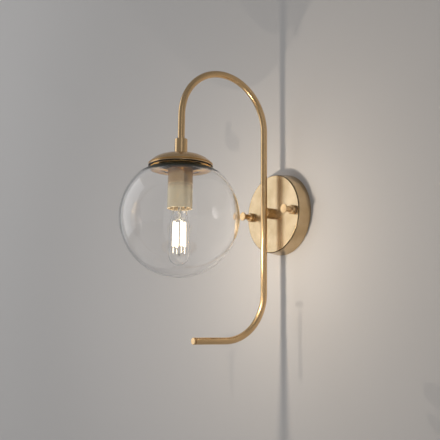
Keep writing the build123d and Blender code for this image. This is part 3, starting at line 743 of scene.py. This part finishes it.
def make_screw_shell():
    """The lampholder's sleeve, a hair outside the bulb's thread, with its terminal tab."""
    rows = steps(SHELL_LOW, SHELL_THREAD_HIGH, count=66)

    def relief(turn, h, number):
        if h > SHELL_THREAD_HIGH + HAIR:
            return 0.0
        rolled = groove(turn, h, BASE_PITCH) * smooth_step(h, SHELL_THREAD_LOW, SHELL_THREAD_FULL)
        return -ROLL_DEPTH * (rolled * smooth_step(h, SHELL_THREAD_HIGH, SHELL_THREAD_FADES))

    outer_r = SHELL_R + SHELL_SHEET
    outside = [(outer_r, h) for h in rows] + [(outer_r, SHELL_TOP), (SHELL_HOLE_R, SHELL_TOP)]
    inside = [(SHELL_HOLE_R, SHELL_TOP_INSIDE), (SHELL_R, SHELL_TOP_INSIDE)]
    inside += [(SHELL_R, h) for h in reversed(rows)]
    sleeve = turned(on_lamp_axis, outside + inside, ROLL_TURNS, hollow=True, relief=relief)
    tab = bmesh.new()
    bmesh.ops.create_cube(tab, size=MM)
    for corner in tab.verts:
        corner.co = Vector(value * size for value, size in zip(corner.co, TAB_SIZE))
        corner.co += MM * Vector(TAB_AT)
    piece("rolled_screw_shell", joined([sleeve, tab]), "fixture", "plain_brass", "screw_shell")


# ---- globe and the gallery that it screws into --------------------------------------------------------

GLOBE_R = 76.2
GLOBE_Z = -20.5
GLASS_T = 2.2
SHOULDER_R = 40.0
SHOULDER_LEAN = math.radians(48.0)
NECK_R = 25.0
NECK_FILLET = 3.0
NECK_TOP = 53.0
NECK_AFTER_FILLET = 0.2
POLE_ANGLE = 0.012
GLOBE_TURNS = 144
GLOBE_SHARP = 80

BEAD_LOW = 46.9
BEAD_PITCH = 4.0
BEAD_HIGH = 0.75
BEAD_HALF = 0.8
BEAD_FADE = 0.4
GROOVE_DEEPER = 0.05
GROOVE_WIDER = 0.06
GROOVE_ENDS = 53.2
GROOVE_FADES = 52.4

GALLERY_R = 25.4
GALLERY_SHEET = 1.2
GALLERY_WALL = (46.2, 53.3)
GALLERY_SKIN = (47.8, 54.2)
GALLERY_HOLE = [(5.1, 55.1), (5.1, 54.1)]
GALLERY_WEB_INSIDE = 0.6
GALLERY_FOOT_INSIDE = 0.1
GALLERY_FOOT = [(27.1, 46.0), (27.45, 46.4), (27.45, 47.1), (27.1, 47.5), (26.75, 47.65)]
GALLERY_CROWN = [(26.3, 54.8), (25.6, 55.1)]
GALLERY_TURNS = 120


def glass_section(depth):
    """The globe's half section at a depth below its outside, from the bottom up to the neck."""
    offset = GLOBE_R - SHOULDER_R
    shoulder = (offset * math.sin(SHOULDER_LEAN), GLOBE_Z + offset * math.cos(SHOULDER_LEAN))
    fillet_x = NECK_R + NECK_FILLET
    rise = math.sqrt((SHOULDER_R + NECK_FILLET) ** 2 - (fillet_x - shoulder[0]) ** 2)
    meet = math.atan2(rise, fillet_x - shoulder[0])
    bowl_top = math.pi / 2 - SHOULDER_LEAN
    bowl = arc((0, GLOBE_Z), GLOBE_R - depth, -math.pi / 2 + POLE_ANGLE, bowl_top, count=110)
    shoulder_arc = arc(shoulder, SHOULDER_R - depth, bowl_top, meet, count=34)
    fillet_at = (fillet_x, shoulder[1] + rise)
    fillet = arc(fillet_at, NECK_FILLET + depth, math.pi + meet, math.pi, count=12)
    return bowl + shoulder_arc[1:] + fillet[1:]


def bead(turn, h):
    """One turn of raised thread round the neck, fading at both ends."""
    middle = BEAD_LOW + BEAD_PITCH * turn / (2 * math.pi)
    fade = smooth_step(turn, 0.0, BEAD_FADE) * smooth_step(turn, 2 * math.pi, 2 * math.pi - BEAD_FADE)
    return BEAD_HIGH * fade * math.exp(-(((h - middle) / BEAD_HALF) ** 2))


def bead_groove(turn, h):
    """The rolled groove in the gallery that the bead runs in."""
    turns = (h - BEAD_LOW) / BEAD_PITCH - turn / (2 * math.pi)
    away = (turns - round(turns)) * BEAD_PITCH
    rolled = (BEAD_HIGH + GROOVE_DEEPER) * math.exp(-((away / (BEAD_HALF + GROOVE_WIDER)) ** 2))
    return rolled * smooth_step(h, GROOVE_ENDS, GROOVE_FADES)


def close_pole(shape, outer, inner):
    """Swap the band between a shell's two skins at its pole for a lid on each skin."""
    outer, inner = list(outer), list(inner)
    bands = {face for corner in outer for face in corner.link_faces}
    bands &= {face for corner in inner for face in corner.link_faces}
    bmesh.ops.delete(shape, geom=list(bands), context="FACES_ONLY")
    for ring in (outer, inner):
        lid = shape.faces.new(ring)
        bmesh.ops.poke(shape, faces=[lid])
    bmesh.ops.recalc_face_normals(shape, faces=shape.faces)


def make_globe():
    """Blown globe with a rounded neck rim and one turn of bead."""
    outside = glass_section(0.0)
    neck_low = outside[-1][1] + NECK_AFTER_FILLET
    rim_r = GLASS_T / 2
    neck = [(NECK_R, h) for h in steps(neck_low, NECK_TOP - rim_r, count=44)]
    rim = arc((NECK_R - rim_r, NECK_TOP - rim_r), rim_r, 0.0, math.pi, count=9)[1:]
    inside = list(reversed(glass_section(GLASS_T)))
    first, last = len(outside), len(outside) + len(neck)

    def relief(turn, h, number):
        return bead(turn, h) if first <= number < last else 0.0

    profile = outside + neck + rim + inside
    globe = turned(on_lamp_axis, profile, GLOBE_TURNS, hollow=True, relief=relief)
    globe.verts.ensure_lookup_table()
    close_pole(globe, globe.verts[:GLOBE_TURNS], globe.verts[-GLOBE_TURNS:])
    piece("blown_globe", globe, "globe_body", "clear_glass", "glass_globe", sharp=GLOBE_SHARP)


def make_gallery():
    """Web and wall with a rolled groove, and a beaded foot."""
    hole = [*GALLERY_HOLE, (GALLERY_R - GALLERY_WEB_INSIDE, GALLERY_HOLE[1][1])]
    wall = [(GALLERY_R, h) for h in reversed(steps(*GALLERY_WALL, count=46))]
    foot = [(GALLERY_R + GALLERY_FOOT_INSIDE, GALLERY_FOOT[0][1]), *GALLERY_FOOT]
    skin = [(GALLERY_R + GALLERY_SHEET, h) for h in steps(*GALLERY_SKIN, count=40)]
    wall_from = len(hole)
    wall_to = wall_from + len(wall)
    skin_from = wall_to + len(foot)

    def relief(turn, h, number):
        grooved = wall_from <= number < wall_to or number >= skin_from
        return bead_groove(turn, h) if grooved and h < GROOVE_ENDS else 0.0

    profile = hole + wall + foot + skin + GALLERY_CROWN
    gallery = turned(on_lamp_axis, profile, GALLERY_TURNS, hollow=True, relief=relief)
    piece("rolled_gallery", gallery, "fixture", "plain_brass", "glass_gallery", finish=gallery_shade_brass())


# ---- filaments ----------------------------------------------------------------------------------------

FILAMENTS = 4
FILAMENT_TURN = math.radians(-11.0)
FILAMENT_RING = 7.7
FILAMENT_LEAN = 0.6
LEAN_FROM = -59.0
LEAN_OVER = 33.5
COAT_R = 1.68
COAT_WAVE = 0.04
COAT_ENDS = (-57.0, -27.2)
COAT_SIDES = (-56.6, -27.6)
COAT_END_R = 1.25
COAT_END_AT = 0.4
COAT_END_ANGLE = 0.1
COAT_WAVE_RATE = 1.9
END_CAPS = ((-59.4, -57.9), (-26.3, -24.8))
END_CAP_R = 0.75
END_PINCH_R = 0.35
END_BREAK = 0.2
TAIL = [(0.2, -66.5), (0.42, -66.0), (0.42, -60.0), (0.3, -59.4)]


def filament_turns():
    return [FILAMENT_TURN + number * math.pi / 2 for number in range(FILAMENTS)]


def coat_profile():
    """The slightly uneven coat of one filament, rounded at both ends."""
    low, high = COAT_ENDS
    foot = arc((COAT_END_AT, low), COAT_END_R, -math.pi / 2 + COAT_END_ANGLE, 0.0, count=7)
    sides = [(COAT_R + COAT_WAVE * math.sin(COAT_WAVE_RATE * h), h) for h in steps(*COAT_SIDES, count=60)]
    head = arc((COAT_END_AT, high), COAT_END_R, 0.0, math.pi / 2 - COAT_END_ANGLE, count=7)
    return foot + sides + head


def make_filaments():
    """Four coated rods with pinched metal ends and glowing tails, leaning in towards the top."""
    coats, ends = [], []
    for turn in filament_turns():

        def leaning(r, angle, h, turn=turn):
            out = FILAMENT_RING - FILAMENT_LEAN * (h - LEAN_FROM) / LEAN_OVER
            x = out * math.cos(turn) + r * math.cos(angle)
            y = out * math.sin(turn) + r * math.sin(angle)
            return MM * Vector((x, LAMP_Y + y, h))

        coats.append(turned(leaning, coat_profile(), around=24))
        for low, high in END_CAPS:
            sides = [(END_CAP_R, low + END_BREAK), (END_CAP_R, high - END_BREAK)]
            cap = [(END_PINCH_R, low), *sides, (END_PINCH_R, high)]
            ends.append(turned(leaning, cap, around=16))
        coats.append(turned(leaning, TAIL, around=12))
    piece("coated_filaments", joined(coats), "bulb_body", "filament", "led_filaments")
    piece("filament_ends", joined(ends), "bulb_body", "lead_wire")


# ---- wall side ----------------------------------------------------------------------------------------

BAR_LENGTH = 104
BAR_WIDTH = 18
BAR_CORNER = 4
BAR_T = 2.0
BAR_EDGE = 0.25
PIPE_HOLE_R = 5.1
BOX_SLOT_X = 34.925
BOX_SLOT = (9.0, 4.8, 2.39)
STUD_HOLE_R = 2.12
GROUND_HOLE_X = 20.0
GROUND_HOLE_R = 2.02
HOLE_POINTS = 40

SUPPLY_WIRE_AT = (9.0, -7.0, -37.0)
STRANDS = 6
STRAND_R = 0.24
STRAND_RING = 0.5
STRAND_TWIST = 0.55
STRIPPED = 9.0
STRAND_SHORTER = 0.25


def loop(corners):
    """A closed run of points for a flat cut-out outline."""
    return [(x * MM, y * MM, 0.0) for x, y in corners]


def round_loop(x, radius):
    turns = [2 * math.pi * step / HOLE_POINTS for step in range(HOLE_POINTS)]
    return loop([(x + radius * math.cos(turn), radius * math.sin(turn)) for turn in turns])


def slot_loop(x, length, width, corner):
    """A rectangle with rounded corners."""
    points = []
    for side_x, side_y, start in ((1, 1, 0), (-1, 1, 90), (-1, -1, 180), (1, -1, 270)):
        centre = (x + side_x * (length / 2 - corner), side_y * (width / 2 - corner))
        points += arc(centre, corner, math.radians(start), math.radians(start + 90), count=10)
    return loop(points)


def pressed_plate(name, loops, thickness, edge):
    """A flat plate cut to outlines, with its edges broken, as a mesh lying on the XY plane."""
    curve = bpy.data.curves.new(name, "CURVE")
    curve.dimensions = "2D"
    curve.fill_mode = "BOTH"
    curve.extrude = (thickness / 2 - edge) * MM
    curve.bevel_depth = edge * MM
    curve.bevel_resolution = 2
    curve.offset = -edge * MM
    for corners in loops:
        spline = curve.splines.new("POLY")
        spline.points.add(len(corners) - 1)
        for point, corner in zip(spline.points, corners):
            point.co = (*corner, 1.0)
        spline.use_cyclic_u = True
    flat = bpy.data.objects.new(name, curve)
    mesh = bpy.data.meshes.new_from_object(flat)
    bpy.data.objects.remove(flat)
    bpy.data.curves.remove(curve)
    return mesh


def make_crossbar():
    """The wall strap, flat against the wall."""
    loops = [slot_loop(0, BAR_LENGTH, BAR_WIDTH, BAR_CORNER), round_loop(0, PIPE_HOLE_R)]
    for side in (-1, 1):
        loops.append(slot_loop(side * BOX_SLOT_X, *BOX_SLOT))
        loops.append(round_loop(side * KNOB_X, STUD_HOLE_R))
        loops.append(round_loop(side * GROUND_HOLE_X, GROUND_HOLE_R))
    plate = pressed_plate("crossbar", loops, BAR_T, BAR_EDGE)
    upright = Matrix.Rotation(math.radians(90), 4, "X")
    plate.transform(Matrix.Translation((0, -MM * BAR_T / 2, 0)) @ upright)
    piece("pressed_crossbar", plate, "fixture", "zinc_steel", "crossbar")


def make_wire_ends():
    """Stripped, twisted strands at the ends of the two supply wires in the canopy."""
    wire_x, wire_y, wire_end = SUPPLY_WIRE_AT
    strands = []
    for side in (-1, 1):
        for number in range(STRANDS):
            start = number * 2 * math.pi / STRANDS

            def strand(r, angle, h, side=side, start=start):
                twist = start + h * STRAND_TWIST
                x = side * wire_x + STRAND_RING * math.cos(twist) + r * math.cos(angle)
                y = wire_y + STRAND_RING * math.sin(twist) + r * math.sin(angle)
                return MM * Vector((x, y, wire_end - h))

            length = STRIPPED - STRAND_SHORTER * (number % 3)
            profile = [(STRAND_R, h) for h in steps(0.0, length, count=26)]
            strands.append(turned(strand, profile, around=8))
    piece("stripped_strands", joined(strands), "fixture", "bronze")


# ---- wall and floor, in metres ------------------------------------------------------------------------

ROOM_REACH = 6.0
WALL_Y = 0.0002
FLOOR_Z = -1.2
WALL_PAINT = srgb(206, 203, 200)
FLOOR_PAINT = srgb(214, 212, 209)
FLOOR_PALE = srgb(206, 205, 203)


def wall_paint():
    """Pale matt paint, seen only from the room's side and never in the way of a lamp."""
    paint = Finish("wall_paint", Roughness=0.9, Base_Color=WALL_PAINT)
    back = paint.node("NewGeometry").out("Backfacing")
    paint.let_through(paint.own(), back.over(paint.rays("Shadow", "Diffuse")))
    return paint.material


def floor_paint():
    """Pale matt paint that is lifted towards the backdrop's colour where it is seen."""
    paint = Finish("floor_paint", Roughness=0.9, Base_Color=FLOOR_PAINT)
    pale = paint.node("Emission", {}, {"Color": FLOOR_PALE, "Strength": 1.0})
    paint.show(paint.blend(0.6 * paint.rays("Camera", "Transmission"), paint.own(), pale))
    return paint.material


def sheet(name, place, material):
    """A square sheet of the stage; place turns a point of the sheet into one of the room."""
    mesh = bpy.data.meshes.new(name)
    sides = ((-1, -1), (1, -1), (1, 1), (-1, 1))
    mesh.from_pydata([place(ROOM_REACH * u, ROOM_REACH * v) for u, v in sides], [], [(0, 1, 2, 3)])
    mesh.materials.append(material)
    made = bpy.data.objects.new(name, mesh)
    bpy.context.scene.collection.objects.link(made)
    made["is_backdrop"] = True


def make_stage():
    sheet("wall", lambda x, z: (x, WALL_Y, z), wall_paint())
    sheet("floor", lambda x, y: (x, y, FLOOR_Z), floor_paint())


# ---- light, in metres and watts -----------------------------------------------------------------------

ROOM_LIGHT = (0.88, 0.89, 0.92, 1)
ROOM_STRENGTH = 0.28
BACKDROP = srgb(208, 208, 208)
WHITE = (1, 1, 1)
COOL_WHITE = (0.95, 0.97, 1.0)
WARM_WHITE = (1.0, 0.98, 0.95)
ROSY_WHITE = (1.0, 0.96, 0.95)
BULB_WHITE = (1.0, 0.88, 0.74)
CANOPY_FRONT = (0, -0.1, 0)
CANOPY_BACK = (0, 0, 0)
WINDOWS = {
    "left_window": {
        "at": (-1.7, -1.5, 0.5),
        "towards": CANOPY_FRONT,
        "brightness": 1.25,
        "size": (1.6, 2.4),
        "colour": COOL_WHITE,
    },
    "right_window": {
        "at": (1.9, -0.9, 0.3),
        "towards": CANOPY_FRONT,
        "brightness": 0.7,
        "size": (0.5, 1.6),
        "colour": WARM_WHITE,
    },
    "rear_fill": {
        "at": (0.5, 1.3, 0.4),
        "towards": CANOPY_BACK,
        "brightness": 1.1,
        "size": (0.9, 0.9),
        "colour": WHITE,
    },
}
WALL_POOL = {
    "at": (-0.5, -1.1, -0.2),
    "towards": (-0.34, 0, -0.09),
    "watts": 4.0,
    "radius": 0.2,
    "colour": ROSY_WHITE,
}
POOL_ANGLE = math.radians(52)
FILAMENT_WATTS = 1.25
FILAMENT_LIGHT_TOP = -34.0
FILAMENT_LIGHT_STEP = 6.0


def make_room_light():
    """An even room that lights the sconce, with a pale backdrop wherever it is seen."""
    world = bpy.data.worlds.new("room")
    bpy.context.scene.world = world
    world.use_nodes = True
    nodes = Nodes(world.node_tree)
    background = world.node_tree.nodes["Background"]
    nodes.feed(background, {"Color": ROOM_LIGHT, "Strength": ROOM_STRENGTH})
    lit = Reading(nodes, background.outputs[0])
    backdrop = nodes.node("Background", {}, {"Color": BACKDROP})
    shown = nodes.blend(nodes.rays("Camera", "Transmission"), lit, backdrop)
    nodes.feed(world.node_tree.nodes["World Output"], {"Surface": shown})


def hung(data, at, towards):
    """Put a lamp in the room, turned towards a point."""
    made = bpy.data.objects.new(data.name, data)
    bpy.context.scene.collection.objects.link(made)
    made.location = at
    made.rotation_mode = "QUATERNION"
    made.rotation_quaternion = (Vector(towards) - Vector(at)).to_track_quat("-Z", "Y")
    return made


def window(name, at, towards, brightness, size, colour):
    """A flat, evenly bright lamp; it isn't seen through the glass."""
    data = bpy.data.lights.new(name, "AREA")
    data.color = colour
    data.shape = "RECTANGLE"
    data.size, data.size_y = size
    data.energy = math.pi * brightness * size[0] * size[1]
    hung(data, at, towards).visible_transmission = False


def small_lamp(name, kind, at, towards, watts, radius, colour):
    data = bpy.data.lights.new(name, kind)
    data.color = colour
    data.shadow_soft_size = radius
    data.energy = watts
    return hung(data, at, towards)


def make_wall_pool():
    """A soft pool of light on the wall beside the globe, without a shadow of its own."""
    pool = small_lamp("wall_pool", "SPOT", **WALL_POOL)
    pool.data.spot_size = POOL_ANGLE
    pool.data.spot_blend = 1.0
    pool.data.use_shadow = False
    pool.visible_glossy = False


def make_filament_lamps():
    """A small lamp at each filament, which lights the wall evenly and throws soft-edged shadows."""
    for number, turn in enumerate(filament_turns()):
        x, y = FILAMENT_RING * math.cos(turn), FILAMENT_RING * math.sin(turn)
        z = FILAMENT_LIGHT_TOP - FILAMENT_LIGHT_STEP * number
        at = MM * Vector((x, LAMP_Y + y, z))
        name = f"filament_light_{number}"
        glow = small_lamp(name, "POINT", at, CANOPY_BACK, FILAMENT_WATTS, radius=0.0, colour=BULB_WHITE)
        glow.data.use_nodes = True
        nodes = Nodes(glow.data.node_tree)
        falloff = nodes.node("LightFalloff", {}, {"Strength": 1.0}).out("Linear")
        nodes.feed(nodes.tree.nodes["Emission"], {"Strength": falloff})


def make_lights():
    make_room_light()
    for name, settings in WINDOWS.items():
        window(name, **settings)
    make_wall_pool()
    make_filament_lamps()


# ---- put together -------------------------------------------------------------------------------------

make_camera()
make_stage()
make_lights()
finish_nodes()
make_threads()
make_bulb_base()
make_screw_shell()
make_globe()
make_gallery()
make_filaments()
make_crossbar()
make_wire_ends()

bpy.context.scene.view_settings.view_transform = "Standard"


def corners(box):
    return [list(corner) for corner in box]


{"cad": corners(cad_box), "visual": corners(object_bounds())}
